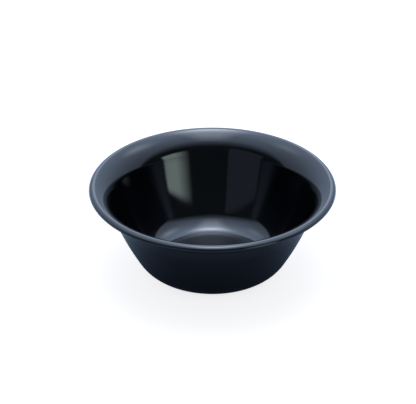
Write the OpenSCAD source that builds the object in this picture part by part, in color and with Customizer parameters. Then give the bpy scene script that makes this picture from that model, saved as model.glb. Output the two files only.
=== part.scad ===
// Hair colour mixing bowl: a one-piece moulded shell of even thickness with a flared,
// rolled lip, and a soft ring set into the underside of its base.
// The origin is the centre of the resting face, and the bowl's axis is Z.

/* [Overall] */
// Diameter over the rolled lip
rim_d = 140; // [115:1:180]
// Height from the resting face to the crest of the lip
bowl_h = 52.8; // [44:0.1:75]
// Diameter of the flat underside of the base
base_d = 56; // [44:1:70]
// Thickness of the shell
shell_t = 1.9; // [1.7:0.1:2.6]

/* [Lip and flare] */
// Radius of the crest of the lip, over its top surface
crest_r = 2.7; // [2.4:0.1:3.6]
// Angle by which the lip turns down on its outer side
lip_curl = 66; // [50:1:76]
// Height of the narrow flat along the lip's outermost edge
land_h = 0.4; // [0.2:0.1:0.8]
// Slope at which the crest passes into the flare
flare_start = 23; // [18:1:30]
// Radius of the flare, over its inside surface
flare_r = 18.2; // [15:0.1:22]

/* [Wall] */
// Radius of the long curve of the outside wall
wall_r = 180; // [140:5:300]
// Radius of the curve round the base, over its outside surface
bend_r = 17.8; // [14:0.1:21]

/* [Anti-slip ring] */
// Distance from the edge of the flat underside in to the middle of the ring
ring_inset = 4; // [3:0.1:8]
// Width of the ring and of its groove
ring_w = 4; // [2.5:0.1:5]
// Depth of the groove in the base
groove_depth = 0.9; // [0.6:0.1:1.2]
// Height by which the ring stands below the base
ring_proud = 0.5; // [0.3:0.1:0.8]
// Radius along the ring's two lower edges
ring_edge_r = 0.4; // [0.2:0.1:0.6]

/* [Quality] */
// Facets round each full circle
facets = 180; // [96:12:360]

/* [Hidden] */
$fn = facets;

// Unit vectors square to the shell, for a surface that slopes at a degrees:
// up and in toward the axis, and down and out away from it.
function inward(a) = [-sin(a), cos(a)];
function outward(a) = [sin(a), -cos(a)];

// Slope of the surface that faces from point q toward the centre c of its curve.
function slope_at(c, q) = atan2(q.x - c.x, c.y - q.y);

// The point that lies d1 from c1 and d2 from c2, on the right of the way from c1 to c2.
function meet(c1, d1, c2, d2) =
    let (
        gap = norm(c2 - c1),
        along = (c2 - c1) / gap,
        x = (gap * gap + d1 * d1 - d2 * d2) / (2 * gap),
        y = sqrt(d1 * d1 - x * x)
    )
    c1 + x * along + y * [along.y, -along.x];

rim_r = rim_d / 2;
base_r = base_d / 2;
base_z = ring_proud;
above = bowl_h + rim_r;

// Lip: a band as thick as the shell, bent over the crest, with a rounded end.
lip_mid_r = crest_r - shell_t / 2;
end_reach = sqrt(pow(shell_t / 2, 2) - pow(land_h / 2, 2));
crest_c = [rim_r - end_reach - lip_mid_r * sin(lip_curl), bowl_h - crest_r];
lip_end_c = crest_c + lip_mid_r * inward(-lip_curl);
flare_line = crest_c + 2 * crest_r * inward(flare_start);
end_line = crest_c + 2 * crest_r * inward(-lip_curl);
curl_line = crest_c + 2 * crest_r * inward((flare_start - lip_curl) / 2);

// Flare: its centre lies outside and below the shell, in line with the crest's centre.
flare_c = crest_c + (flare_r - crest_r) * outward(flare_start);

// Bend round the base, and the long curve of the wall, which is tangent to bend and flare.
bend_c = [base_r, base_z + bend_r];
wall_c = meet(flare_c, wall_r + flare_r - shell_t, bend_c, wall_r - bend_r);
wall_top_slope = slope_at(wall_c, flare_c);
wall_low_slope = slope_at(wall_c, bend_c);

// Anti-slip ring, under the base.
ring_in_r = base_r - ring_inset - ring_w / 2;
groove_z = base_z + groove_depth;

// The wall is drawn as a fan of pieces round one point inside the bowl. Each joint between
// two curves lies on a line from that point, which both pieces share.
eye = [0, bowl_h / 2];
function past(p) = eye + 1.2 * (p - eye);

// Moves its children to p in three steps, from whole millimetres down to the last small
// part, so that curves that should meet do so exactly.
module place(p) {
    whole = [floor(p.x), floor(p.y)];
    fine = [floor(1000 * (p.x - whole.x)), floor(1000 * (p.y - whole.y))] / 1000;
    translate(whole) translate(fine) translate(p - whole - fine) children();
}

// Everything beyond a line that crosses the fan a little nearer the eye than p and q.
module beyond(p, q, back) {
    start = p - back * (p - eye) / norm(p - eye);
    end = q - back * (q - eye) / norm(q - eye);
    along = bowl_h * (end - start) / norm(end - start);
    out = [along.y, -along.x];
    polygon([start - along, start - along + out, end + along + out, end + along]);
}

// The piece of the fan that ends on a circle, between the points p and q.
module curved_piece(centre, r, p, q) {
    difference() {
        polygon([eye, past(p), past(q)]);
        difference() {
            beyond(p, q, min(r / 2, 5));
            place(centre) circle(r);
        }
    }
}

// The piece of the fan that ends on the level z, from the axis out to the point p.
module flat_piece(z, p) {
    difference() {
        polygon([eye, [0, past(p).y], past(p)]);
        translate([0, z - bowl_h]) square([rim_d, bowl_h]);
    }
}

// The piece of the fan that ends on the flare, from the point p up. Past the flare its
// edge runs through the given points and back to the eye.
module flared_piece(r, p, edge) {
    difference() {
        polygon([eye, past(p), each edge]);
        place(flare_c) circle(r);
    }
}

// Everything inside one surface of the shell, which lies t in from the outside surface.
module form_within(t, edge) {
    low = [base_r, base_z + t];
    bend_top = wall_c + (wall_r - t) * outward(wall_low_slope);
    wall_top = wall_c + (wall_r - t) * outward(wall_top_slope);
    flat_piece(low.y, low);
    curved_piece(bend_c, bend_r - t, low, bend_top);
    curved_piece(wall_c, wall_r - t, bend_top, wall_top);
    flared_piece(flare_r - shell_t + t, wall_top, edge);
}

// The rolled band of the lip, from the flare over the crest to its rounded end.
module lip_form() {
    intersection() {
        square([rim_r, above]);
        union() {
            intersection() {
                place(crest_c) difference() {
                    circle(crest_r);
                    circle(crest_r - shell_t);
                }
                polygon([crest_c, flare_line, curl_line, end_line]);
            }
            intersection() {
                place(lip_end_c) circle(shell_t / 2);
                polygon([crest_c, end_line, [end_line.x, 0], [crest_c.x, 0]]);
            }
        }
    }
}

// Half of the bowl's cross-section, on the right of the axis.
module bowl_section() {
    difference() {
        form_within(0, [crest_c, flare_line, [0, flare_line.y]]);
        form_within(shell_t, [[rim_d, crest_c.y], [rim_d, above], [0, above]]);
        translate([ring_in_r, 0]) square([ring_w, groove_z]);
    }
    lip_form();
}

// Half of the ring's cross-section, with its two lower edges rounded.
module ring_section() {
    translate([ring_in_r, ring_edge_r]) square([ring_w, groove_z - ring_edge_r]);
    translate([ring_in_r + ring_edge_r, 0]) square([ring_w - 2 * ring_edge_r, groove_z]);
    for (x = [ring_edge_r, ring_w - ring_edge_r])
        translate([ring_in_r + x, ring_edge_r]) circle(ring_edge_r);
}

// The moulded shell, glossy blue-black.
module bowl() {
    color([0.05, 0.06, 0.08]) rotate_extrude() bowl_section();
}

// The soft ring that grips the worktop.
module anti_slip_ring() {
    color([0.12, 0.12, 0.13]) rotate_extrude() ring_section();
}

bowl();
anti_slip_ring();
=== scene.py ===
"""A hair colour mixing bowl in glossy blue-black plastic, standing on a pale studio floor.

The bowl is a fine lathed mesh built from the same arcs as the CAD solid, without the narrow flat
along the lip's outermost edge. The anti-slip ring keeps its CAD mesh. Both have procedural
materials. Lengths are in metres and angles in degrees, unless a comment says otherwise.
"""

import math

import bpy
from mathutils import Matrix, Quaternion, Vector

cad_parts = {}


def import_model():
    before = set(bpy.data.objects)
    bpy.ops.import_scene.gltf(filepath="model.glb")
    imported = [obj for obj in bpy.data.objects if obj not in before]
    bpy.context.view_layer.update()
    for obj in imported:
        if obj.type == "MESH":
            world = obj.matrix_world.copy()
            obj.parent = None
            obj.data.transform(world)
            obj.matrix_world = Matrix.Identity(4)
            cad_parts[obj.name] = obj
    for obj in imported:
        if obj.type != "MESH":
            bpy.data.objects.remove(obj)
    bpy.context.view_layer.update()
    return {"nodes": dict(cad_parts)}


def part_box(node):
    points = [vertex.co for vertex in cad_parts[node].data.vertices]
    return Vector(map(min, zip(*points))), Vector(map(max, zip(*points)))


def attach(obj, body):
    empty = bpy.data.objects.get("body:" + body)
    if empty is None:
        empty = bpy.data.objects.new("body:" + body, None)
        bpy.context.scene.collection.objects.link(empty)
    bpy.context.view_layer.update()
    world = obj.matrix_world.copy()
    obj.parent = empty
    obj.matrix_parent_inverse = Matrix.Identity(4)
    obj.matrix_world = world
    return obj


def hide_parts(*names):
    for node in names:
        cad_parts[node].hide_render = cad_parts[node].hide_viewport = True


MM = 0.001

# The bowl's section. The overall sizes come from the frame; these are the shapes between them.
SHELL_T = 1.9 * MM
CREST_R = 2.7 * MM
LIP_CURL = 66.0
FLARE_START = 23.0
FLARE_R = 18.2 * MM
WALL_R = 180.0 * MM
BEND_R = 17.8 * MM
RING_INSET = 4.0 * MM
RING_W = 4.0 * MM
GROOVE_DEPTH = 0.9 * MM

# The bowl's mesh: steps round the axis, and the longest steps along the arcs and lines of the section.
TURNS = 384
ARC_STEP = 0.45 * MM
ARC_TURN = 4.0
ARC_LEAST = 3
LINE_STEP = 4 * ARC_STEP
SHARP_ANGLE = 35.0

# The camera stands CAM_DISTANCE from the middle of the rim, CAM_ELEV above the horizon, and looks at
# the point AIM_RIGHT and AIM_UP of it, square to that line. Lens and sensor are in millimetres.
CAM_ELEV = 29.60
CAM_ROLL = 0.09
CAM_DISTANCE = 1.40
CAM_LENS = 214.27
CAM_SENSOR = 36.0
AIM_RIGHT = -2.49 * MM
AIM_UP = -9.84 * MM

# The studio. The floor lies FLOOR_DROP below the ring, and it and the backdrop give light of their own.
FLOOR_HALF = 3.0
FLOOR_DROP = 0.0001
FLOOR_COLOUR = (0.86, 0.86, 0.87)
FLOOR_GLOW = 0.92
BACKDROP_RADIUS = 4.5
BACKDROP_COLOUR = (1.0, 1.0, 1.0)
BACKDROP_GLOW = 1.0
SPHERE_SEGMENTS, SPHERE_RINGS = 96, 48
WORLD_LEVEL = 0.26
KEY_PLACE = (0.0, 0.5, 2.0)
KEY_SIZE = (1.6, 1.4)
KEY_WATTS = 6.0
PAPER_PATCHES = (3.0, 2.0, 0.5)
PAPER_PATCH_RANGE = (0.3, 0.7, 0.98, 1.0)
PAPER_ROUGH = 0.9

# The light tent, which only reflections see. "over" is the angle from the horizon behind the bowl, up
# and over to the front; "side" is the angle to the right. Levels are radiance, where 1 renders white.
TENT_RADIUS = 5.0
TENT_TINT = (0.76, 0.97, 1.34)
SPOT_TINT = (0.93, 1.0, 1.12)
WINDOW_TINT = (0.80, 1.0, 0.97)
GREY_CARD_TINT = (0.86, 1.0, 1.42)
HAZE_LEVEL = 0.045

# A spot above, and a glow round it that is weaker toward the front and low at the back.
SPOT_OVER, SPOT_SIDE = 74.0, 1.0
SPOT_LEVEL, SPOT_WIDTH = 6.6, 8.5
GLOW_LEVEL, GLOW_WIDTH = 4.5, 45.0
FRONT_TURN = 0.15
FRONT_RANGE = (119.0, 143.0, 1.0, 0.06)
LOW_RANGE = (0.0, 32.0, 0.78, 1.0)

# Cards of light: level, tint, and where each one starts, is full, starts to fade and ends, first by
# "side" and then by "over". They are a strip above, a ridge low at the back, a patch on the left and
# one on the right, a window at the front right and a grey card at the front left.
CARDS = (
    (2.4, SPOT_TINT, (-13.0, -4.0, 6.0, 15.0), (62.0, 76.0, 100.0, 126.0)),
    (1.3, SPOT_TINT, (-16.0, -5.0, 8.0, 20.0), (14.0, 25.0, 38.0, 56.0)),
    (0.9, SPOT_TINT, (-44.0, -35.0, -33.0, -24.0), (58.0, 70.0, 76.0, 92.0)),
    (1.8, SPOT_TINT, (24.0, 33.0, 36.0, 46.0), (56.0, 69.0, 76.0, 94.0)),
    (3.4, WINDOW_TINT, (25.0, 41.0, 54.0, 57.0), (150.0, 153.5, 167.0, 178.0)),
    (0.20, GREY_CARD_TINT, (-56.0, -54.0, -18.0, -17.0), (146.0, 149.0, 174.0, 178.0)),
)

# What the floor gives back to reflections, by distance from the bowl's axis: a painted reflection of
# the floor with a painted shadow, dim under the bowl and paler away from it. PAINTED_FRONT_SHADE_RANGE
# paints shade in front of the axis, taking it down to a share there.
PAINTED_FLOOR_REFLECTION = (
    (0.030, 0.025),
    (0.045, 0.055),
    (0.055, 0.12),
    (0.065, 0.22),
    (0.085, 0.70),
    (0.120, 1.60),
    (1.200, 1.80),
)
PAINTED_FRONT_SHADE_RANGE = (-0.05, 0.02, 0.38, 1.0)
PAINTED_FLOOR_REFLECTION_TINT = (0.70, 1.0, 1.50)

# In the materials, a NOISE or PATCHES is its scale, detail and roughness. A RANGE is the low and high
# ends of what comes in and, where it has four numbers, of what goes out. A STRETCH is a scale for the
# radius, for the angle round the axis in radians and for the height.
PLASTIC_DEEP = (0.0021, 0.0029, 0.0056, 1.0)
PLASTIC_SMUDGED = (0.0029, 0.0038, 0.0070, 1.0)
PLASTIC_DUSTY = (0.10, 0.10, 0.10, 1.0)
PLASTIC_IOR = 1.48
PLASTIC_BUMP = {"Strength": 0.35, "Distance": 0.00001}
SMUDGE_NOISE = (38.0, 4.0, 0.55)
SMUDGE_TINT_RANGE = (0.35, 0.7)
SMUDGE_ROUGH_RANGE = (0.3, 0.75, 0.045, 0.10)
GRAIN_NOISE, GRAIN_HEIGHT = (2600.0, 2.0, 0.6), 0.006
RIPPLE_NOISE, RIPPLE_HEIGHT = (55.0, 1.0, 0.4), 2.0
MOULD_NOISE = (1.0, 3.0, 0.6)
MOULD_STRETCH = (900.0, 0.35, 0.0)
MOULD_HEIGHT, MOULD_FLOOR_HEIGHT = 0.03, 5.0
FLOOR_FACING_RANGE = (0.5, 0.95)
FLOOR_Z_RANGE = (0.010, 0.022)
SCRATCH_NOISE = (1.0, 2.0, 0.5)
SCRATCH_STRETCH = (2400.0, 5.0, 1500.0)
SCRATCH_RANGE = (0.66, 0.74)
SCRATCH_ROUGH, SCRATCH_HEIGHT = 0.06, -0.05
DUST_SCALE = 420.0
DUST_RANGE = (0.03, 0.07)
DUST_PATCHES = (90.0, 1.0, 0.5)
DUST_PATCH_RANGE = (0.56, 0.62)
DUST_TINT_SHARE, DUST_ROUGH = 0.35, 0.4

RUBBER_COLOUR = (0.022, 0.022, 0.025, 1.0)
RUBBER_WORN = (0.055, 0.055, 0.058, 1.0)
RUBBER_IOR = 1.5
RUBBER_BUMP = {"Strength": 0.5, "Distance": 0.00006}
STIPPLE_NOISE = (3200.0, 3.0, 0.6)
RUBBER_PATCHES = (120.0, 4.0, 0.6)
RUBBER_ROUGH_RANGE = (0.3, 0.7, 0.62, 0.8)
WEAR_Z_RANGE = (0.0, 0.0003)
WEAR_PATCH_RANGE = (0.4, 0.7, 0.2, 1.0)


def polar(centre, radius, angle):
    return (centre[0] + radius * math.cos(angle), centre[1] + radius * math.sin(angle))


def inward(slope):
    s = math.radians(slope)
    return (-math.sin(s), math.cos(s))


def along(p, vec, distance):
    return (p[0] + vec[0] * distance, p[1] + vec[1] * distance)


def meet(c1, d1, c2, d2):
    """The point d1 from c1 and d2 from c2, on the right of the way from c1 to c2."""
    gap = math.dist(c1, c2)
    way = ((c2[0] - c1[0]) / gap, (c2[1] - c1[1]) / gap)
    x = (gap * gap + d1 * d1 - d2 * d2) / (2 * gap)
    y = math.sqrt(d1 * d1 - x * x)
    return (c1[0] + x * way[0] + y * way[1], c1[1] + x * way[1] - y * way[0])


def toward(c, q, distance):
    """The point that lies distance from c on the way to q."""
    gap = math.dist(c, q)
    return (c[0] + (q[0] - c[0]) * distance / gap, c[1] + (q[1] - c[1]) * distance / gap)


def arc(centre, p, q):
    """Points on the shorter arc round centre from p up to but not including q."""
    a = math.atan2(p[1] - centre[1], p[0] - centre[0])
    b = math.atan2(q[1] - centre[1], q[0] - centre[0])
    turn = (b - a + math.pi) % (2 * math.pi) - math.pi
    radius = math.dist(centre, p)
    by_length = math.ceil(abs(turn) * radius / ARC_STEP)
    by_angle = math.ceil(abs(math.degrees(turn)) / ARC_TURN)
    count = max(ARC_LEAST, by_length, by_angle)
    return [polar(centre, radius, a + turn * i / count) for i in range(count)]


def line(p, q):
    """Points on the straight from p up to but not including q."""
    count = max(1, math.ceil(math.dist(p, q) / LINE_STEP))
    way = (q[0] - p[0], q[1] - p[1])
    return [(p[0] + way[0] * i / count, p[1] + way[1] * i / count) for i in range(count)]


def bowl_section(rim_r, height, base_z, ring_out):
    """The bowl's section as (radius, z): out from the axis under the base, over the lip and back in."""
    base_r = ring_out + RING_INSET - RING_W / 2
    ring_in = ring_out - RING_W
    groove_z = base_z + GROOVE_DEPTH
    lip_mid = CREST_R - SHELL_T / 2
    crest = (rim_r - SHELL_T / 2 - lip_mid * math.sin(math.radians(LIP_CURL)), height - CREST_R)
    lip_end = along(crest, inward(-LIP_CURL), lip_mid)
    flare = along(crest, inward(FLARE_START), CREST_R - FLARE_R)
    bend = (base_r, base_z + BEND_R)
    wall = meet(flare, WALL_R + FLARE_R - SHELL_T, bend, WALL_R - BEND_R)

    lip_out = (lip_end[0] + SHELL_T / 2, lip_end[1])
    inner_r = CREST_R - SHELL_T
    lip_under, lip_over = (along(crest, inward(-LIP_CURL), r) for r in (inner_r, CREST_R))
    under_top, flare_top = (along(crest, inward(FLARE_START), r) for r in (inner_r, CREST_R))
    wall_top, inner_top = (toward(wall, flare, WALL_R - t) for t in (0.0, SHELL_T))
    bend_top, inner_low = (toward(wall, bend, WALL_R - t) for t in (0.0, SHELL_T))
    base_edge, floor_edge = ((base_r, base_z + t) for t in (0.0, SHELL_T))

    points = []
    for p, q in (
        ((0.0, base_z), (ring_in, base_z)),
        ((ring_in, base_z), (ring_in, groove_z)),
        ((ring_in, groove_z), (ring_out, groove_z)),
        ((ring_out, groove_z), (ring_out, base_z)),
        ((ring_out, base_z), base_edge),
    ):
        points += line(p, q)
    for c, p, q in (
        (bend, base_edge, bend_top),
        (wall, bend_top, wall_top),
        (flare, wall_top, under_top),
        (crest, under_top, lip_under),
        (lip_end, lip_under, lip_out),
        (lip_end, lip_out, lip_over),
        (crest, lip_over, flare_top),
        (flare, flare_top, inner_top),
        (wall, inner_top, inner_low),
        (bend, inner_low, floor_edge),
    ):
        points += arc(c, p, q)
    points += line(floor_edge, (0.0, base_z + SHELL_T))
    points.append((0.0, base_z + SHELL_T))
    return points


def lathe(name, section):
    """A closed mesh of revolution. The first and last points of the section are on the axis."""
    verts = [(0.0, 0.0, section[0][1])]
    for r, z in section[1:-1]:
        for k in range(TURNS):
            a = 2 * math.pi * k / TURNS
            verts.append((r * math.cos(a), r * math.sin(a), z))
    verts.append((0.0, 0.0, section[-1][1]))
    rings = len(section) - 2
    last = len(verts) - 1
    faces = []
    for k in range(TURNS):
        n = (k + 1) % TURNS
        faces.append((0, 1 + n, 1 + k))
        for i in range(rings - 1):
            a, b = 1 + i * TURNS, 1 + (i + 1) * TURNS
            faces.append((a + k, a + n, b + n, b + k))
        top = 1 + (rings - 1) * TURNS
        faces.append((top + k, top + n, last))
    mesh = bpy.data.meshes.new(name)
    mesh.from_pydata(verts, [], faces)
    mesh.polygons.foreach_set("use_smooth", [True] * len(mesh.polygons))
    mesh.set_sharp_from_angle(angle=math.radians(SHARP_ANGLE))
    mesh.update()
    obj = bpy.data.objects.new(name, mesh)
    bpy.context.scene.collection.objects.link(obj)
    return obj


class Nodes:
    """A short way to write node trees."""

    def __init__(self, tree):
        self.tree = tree
        tree.nodes.clear()

    def add(self, kind, inputs=(), **settings):
        node = self.tree.nodes.new(kind)
        for key, value in settings.items():
            setattr(node, key, value)
        for key, value in dict(inputs).items():
            if isinstance(value, bpy.types.NodeSocket):
                self.tree.links.new(value, node.inputs[key])
            else:
                node.inputs[key].default_value = value
        return node

    def math(self, operation, a, b=0.0):
        return self.add("ShaderNodeMath", {0: a, 1: b}, operation=operation).outputs[0]

    def weighted(self, start, terms):
        """start, plus each value times its weight."""
        for value, weight in terms:
            start = self.math("ADD", start, self.math("MULTIPLY", value, weight))
        return start

    def spread(self, value, low, high, to_low=0.0, to_high=1.0):
        """value moved from low..high to to_low..to_high, and kept inside it."""
        ends = {"From Min": low, "From Max": high, "To Min": to_low, "To Max": to_high}
        return self.add("ShaderNodeMapRange", {"Value": value, **ends}).outputs["Result"]

    def fade(self, value, low, high):
        """1 below low, falling to 0 above high."""
        return self.spread(value, low, high, 1.0, 0.0)

    def band(self, value, start, full, fading, end):
        """1 between full and fading, and 0 before start and after end."""
        return self.math("MULTIPLY", self.spread(value, start, full), self.fade(value, fading, end))

    def total(self, terms):
        """The sum of level x tint."""
        colour = (0.0, 0.0, 0.0)
        for level, tint in terms:
            part = self.add("ShaderNodeVectorMath", {0: tint, "Scale": level}, operation="SCALE")
            both = {0: colour, 1: part.outputs[0]}
            colour = self.add("ShaderNodeVectorMath", both, operation="ADD").outputs[0]
        return colour

    def blend(self, share, first, second):
        """The colour first, turned toward the colour second by share."""
        inputs = {0: share, "A": first, "B": second}
        return self.add("ShaderNodeMix", inputs, data_type="RGBA").outputs["Result"]

    def noise(self, where, scale, detail, rough):
        inputs = {"Vector": where, "Scale": scale, "Detail": detail, "Roughness": rough}
        return self.add("ShaderNodeTexNoise", inputs).outputs["Fac"]

    def stretched(self, parts, scales):
        """A place made of three values, each times its own scale."""
        scaled = {key: self.math("MULTIPLY", part, s) for key, part, s in zip("XYZ", parts, scales)}
        return self.add("ShaderNodeCombineXYZ", scaled).outputs[0]

    def parts(self, where):
        """The X, Y and Z of a place or direction."""
        return tuple(self.add("ShaderNodeSeparateXYZ", {0: where}).outputs)

    def surface(self, kind, inputs):
        """The shader that the material shows."""
        shader = self.add(kind, inputs)
        self.add("ShaderNodeOutputMaterial", {"Surface": shader.outputs[0]})


def new_material(name):
    """A material, its nodes, and the place on the object."""
    material = bpy.data.materials.new(name)
    material.use_nodes = True
    n = Nodes(material.node_tree)
    return material, n, n.add("ShaderNodeTexCoord").outputs["Object"]


def plastic():
    """Glossy blue-black plastic: mould rings on the floor, light scratches, smudges and a little dust."""
    material, n, where = new_material("bowl_plastic_look")
    x, y, z = n.parts(where)
    radius = n.math("SQRT", n.math("ADD", n.math("MULTIPLY", x, x), n.math("MULTIPLY", y, y)))
    angle = n.math("ARCTAN2", y, x)

    smudge = n.noise(where, *SMUDGE_NOISE)
    grain = n.noise(where, *GRAIN_NOISE)
    ripple = n.noise(where, *RIPPLE_NOISE)

    # Rings left by the turned mould, whose strength comes and goes round the bowl.
    rings = n.noise(n.stretched((radius, angle, z), MOULD_STRETCH), *MOULD_NOISE)

    # Light scratches from a brush: long and thin, round the bowl.
    scratch = n.noise(n.stretched((radius, angle, z), SCRATCH_STRETCH), *SCRATCH_NOISE)
    scratch = n.spread(scratch, *SCRATCH_RANGE)

    cells = n.add("ShaderNodeTexVoronoi", {"Vector": where, "Scale": DUST_SCALE}, feature="F1")
    specks = n.fade(cells.outputs["Distance"], *DUST_RANGE)
    dust = n.math("MULTIPLY", specks, n.spread(n.noise(where, *DUST_PATCHES), *DUST_PATCH_RANGE))

    tint = n.blend(n.spread(smudge, *SMUDGE_TINT_RANGE), PLASTIC_DEEP, PLASTIC_SMUDGED)
    tint = n.blend(n.math("MULTIPLY", dust, DUST_TINT_SHARE), tint, PLASTIC_DUSTY)
    rough = n.spread(smudge, *SMUDGE_ROUGH_RANGE)
    rough = n.weighted(rough, ((scratch, SCRATCH_ROUGH), (dust, DUST_ROUGH)))

    facing = n.parts(n.add("ShaderNodeNewGeometry").outputs["Normal"])[2]
    on_floor = n.math("MULTIPLY", n.spread(facing, *FLOOR_FACING_RANGE), n.fade(z, *FLOOR_Z_RANGE))
    height = n.math("MULTIPLY", rings, n.weighted(MOULD_HEIGHT, ((on_floor, MOULD_FLOOR_HEIGHT),)))
    marks = ((scratch, SCRATCH_HEIGHT), (grain, GRAIN_HEIGHT), (ripple, RIPPLE_HEIGHT))
    height = n.weighted(height, marks)
    bump = n.add("ShaderNodeBump", {"Height": height, **PLASTIC_BUMP}).outputs[0]

    look = {"Base Color": tint, "Roughness": rough, "Normal": bump, "IOR": PLASTIC_IOR}
    n.surface("ShaderNodeBsdfPrincipled", look)
    return material


def rubber():
    """Soft matt rubber with a fine stipple, paler where it has rubbed on the worktop."""
    material, n, where = new_material("ring_rubber_look")
    z = n.parts(where)[2]
    stipple = n.noise(where, *STIPPLE_NOISE)
    patches = n.noise(where, *RUBBER_PATCHES)
    wear = n.math("MULTIPLY", n.fade(z, *WEAR_Z_RANGE), n.spread(patches, *WEAR_PATCH_RANGE))
    tint = n.blend(wear, RUBBER_COLOUR, RUBBER_WORN)
    rough = n.spread(patches, *RUBBER_ROUGH_RANGE)
    bump = n.add("ShaderNodeBump", {"Height": stipple, **RUBBER_BUMP}).outputs[0]
    look = {"Base Color": tint, "Roughness": rough, "Normal": bump, "IOR": RUBBER_IOR}
    n.surface("ShaderNodeBsdfPrincipled", look)
    return material


def paper(name, colour, glow):
    """A matt studio surface, a little uneven, with some light of its own."""
    material, n, where = new_material(name)
    patches = n.spread(n.noise(where, *PAPER_PATCHES), *PAPER_PATCH_RANGE)
    tint = n.blend(patches, (0.0, 0.0, 0.0, 1.0), (*colour, 1.0))
    look = {"Base Color": tint, "Roughness": PAPER_ROUGH}
    light = {"Emission Color": (*colour, 1.0), "Emission Strength": glow}
    n.surface("ShaderNodeBsdfPrincipled", {**look, **light})
    return material


def tent_look():
    """Light by direction, as only reflections see it: a spot, a glow round it, a haze and the cards."""
    material, n, where = new_material("tent_look")
    way = n.add("ShaderNodeVectorMath", {0: where}, operation="NORMALIZE").outputs[0]
    x, y, z = n.parts(way)
    over = n.math("DEGREES", n.math("ARCTAN2", z, y))
    side = n.math("DEGREES", n.math("ARCSINE", x))

    a, b = math.radians(SPOT_OVER), math.radians(SPOT_SIDE)
    spot_way = (math.sin(b), math.cos(b) * math.cos(a), math.cos(b) * math.sin(a))
    dot = n.add("ShaderNodeVectorMath", {0: way, 1: spot_way}, operation="DOT_PRODUCT").outputs["Value"]
    off = n.math("DEGREES", n.math("ARCCOSINE", dot))
    off_square = n.math("POWER", n.math("DIVIDE", off, SPOT_WIDTH), 2.0)
    spot = n.math("MULTIPLY", n.math("EXPONENT", n.math("MULTIPLY", off_square, -1.0)), SPOT_LEVEL)
    glow = n.math("MULTIPLY", n.math("EXPONENT", n.math("DIVIDE", off, -GLOW_WIDTH)), GLOW_LEVEL)
    turned = n.weighted(over, ((n.math("ABSOLUTE", side), FRONT_TURN),))
    glow = n.math("MULTIPLY", glow, n.spread(turned, *FRONT_RANGE))
    glow = n.math("MULTIPLY", glow, n.spread(over, *LOW_RANGE))

    lights = [(glow, TENT_TINT), (spot, SPOT_TINT), (HAZE_LEVEL, WINDOW_TINT)]
    for level, tint, by_side, by_over in CARDS:
        card = n.math("MULTIPLY", n.band(side, *by_side), n.band(over, *by_over))
        lights.append((n.math("MULTIPLY", card, level), tint))
    n.surface("ShaderNodeEmission", {"Color": n.total(lights)})
    return material


def painted_floor_reflection_look():
    """A painted floor reflection, only seen by reflections: painted shadow under the bowl, shade in
    front.
    """
    material, n, where = new_material("painted_floor_reflection_look")
    distance = n.add("ShaderNodeVectorMath", {0: where}, operation="LENGTH").outputs["Value"]
    # Painted shadow: the level is low near the axis, under the bowl, and rises away from it.
    level = PAINTED_FLOOR_REFLECTION[0][1]
    for (d0, v0), (d1, v1) in zip(PAINTED_FLOOR_REFLECTION, PAINTED_FLOOR_REFLECTION[1:]):
        level = n.math("ADD", level, n.spread(distance, d0, d1, 0.0, v1 - v0))
    # Painted shade: the floor's painted reflection is darker in front of the axis.
    level = n.math("MULTIPLY", level, n.spread(n.parts(where)[1], *PAINTED_FRONT_SHADE_RANGE))
    n.surface("ShaderNodeEmission", {"Color": n.total(((level, PAINTED_FLOOR_REFLECTION_TINT),))})
    return material


def only_reflections(obj):
    """Shows a stage object to reflections and to nothing else."""
    obj.visible_camera = False
    obj.visible_diffuse = False
    obj.visible_shadow = False
    obj.visible_transmission = False
    obj.visible_volume_scatter = False


def sphere(name, radius, material):
    """A stage sphere round the studio, which only reflections see until its caller says otherwise."""
    bpy.ops.mesh.primitive_uv_sphere_add(segments=SPHERE_SEGMENTS, ring_count=SPHERE_RINGS, radius=radius)
    obj = bpy.context.object
    obj.name = name
    obj.data.materials.append(material)
    only_reflections(obj)
    return obj


def floor_panel(name, material):
    """A level stage square, where the floor is."""
    r = FLOOR_HALF
    z = -FLOOR_DROP
    mesh = bpy.data.meshes.new(name)
    mesh.from_pydata([(-r, -r, z), (r, -r, z), (r, r, z), (-r, r, z)], [], [(0, 1, 2, 3)])
    mesh.materials.append(material)
    obj = bpy.data.objects.new(name, mesh)
    bpy.context.scene.collection.objects.link(obj)
    return obj


def key_light():
    """A soft light above and a little behind the bowl, which reflections don't see."""
    light = bpy.data.lights.new("overhead_soft", "AREA")
    light.shape = "RECTANGLE"
    light.size, light.size_y = KEY_SIZE
    light.energy = KEY_WATTS
    obj = bpy.data.objects.new("overhead_soft", light)
    obj.location = KEY_PLACE
    obj.rotation_euler = (-Vector(KEY_PLACE)).to_track_quat("-Z", "Y").to_euler()
    obj.visible_glossy = False
    bpy.context.scene.collection.objects.link(obj)


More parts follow.
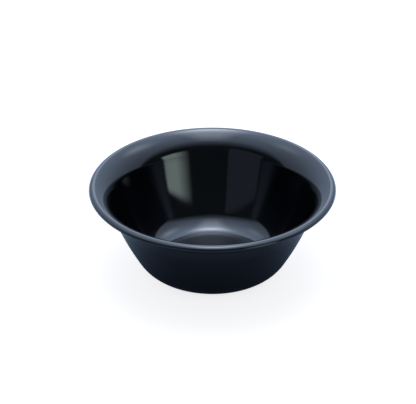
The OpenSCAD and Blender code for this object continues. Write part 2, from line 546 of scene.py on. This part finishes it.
def world():
    scene = bpy.context.scene
    scene.world = bpy.data.worlds.new("studio_air")
    scene.world.use_nodes = True
    back = scene.world.node_tree.nodes["Background"]
    back.inputs["Color"].default_value = (1.0, 1.0, 1.0, 1.0)
    back.inputs["Strength"].default_value = WORLD_LEVEL


def studio():
    """The floor and backdrop, which reflections don't see, and what reflections see in their place."""
    floor = floor_panel("floor", paper("floor_paper", FLOOR_COLOUR, FLOOR_GLOW))
    floor.visible_glossy = False
    world()
    key_light()
    sphere("light_tent", TENT_RADIUS, tent_look())
    # A painted reflection of the floor, with a painted shadow under the bowl, seen only by reflections.
    only_reflections(floor_panel("painted_floor_reflection_plane", painted_floor_reflection_look()))
    backdrop_paper = paper("backdrop_paper", BACKDROP_COLOUR, BACKDROP_GLOW)
    backdrop = sphere("backdrop", BACKDROP_RADIUS, backdrop_paper)
    backdrop.visible_camera = True
    backdrop.visible_glossy = False
    bpy.context.scene.view_settings.view_transform = "Standard"


def camera(rim_centre):
    """A camera with no shift, which looks at a point beside the middle of the rim."""
    e = math.radians(CAM_ELEV)
    back = Vector((0.0, -math.cos(e), math.sin(e)))
    up = Vector((0.0, math.sin(e), math.cos(e)))
    right = Vector((1.0, 0.0, 0.0))
    place = rim_centre + back * CAM_DISTANCE
    aim = rim_centre + right * AIM_RIGHT + up * AIM_UP
    data = bpy.data.cameras.new("camera")
    data.sensor_width = CAM_SENSOR
    data.lens = CAM_LENS
    obj = bpy.data.objects.new("camera", data)
    obj.location = place
    obj.rotation_mode = "QUATERNION"
    look = (aim - place).to_track_quat("-Z", "Y")
    obj.rotation_quaternion = look @ Quaternion((0.0, 0.0, 1.0), math.radians(-CAM_ROLL))
    bpy.context.scene.collection.objects.link(obj)
    bpy.context.scene.camera = obj


def main():
    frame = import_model()
    low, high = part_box("bowl")
    ring_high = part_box("anti_slip_ring")[1]
    section = bowl_section(high.x, high.z, low.z, ring_high.x)
    bowl = lathe("bowl_shell", section)
    bowl.data.materials.append(plastic())
    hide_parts("bowl")
    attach(bowl, "root")

    ring = frame["nodes"]["anti_slip_ring"]
    for slot in ring.material_slots:
        slot.material = rubber()

    studio()
    camera(Vector((0.0, 0.0, high.z)))


main()
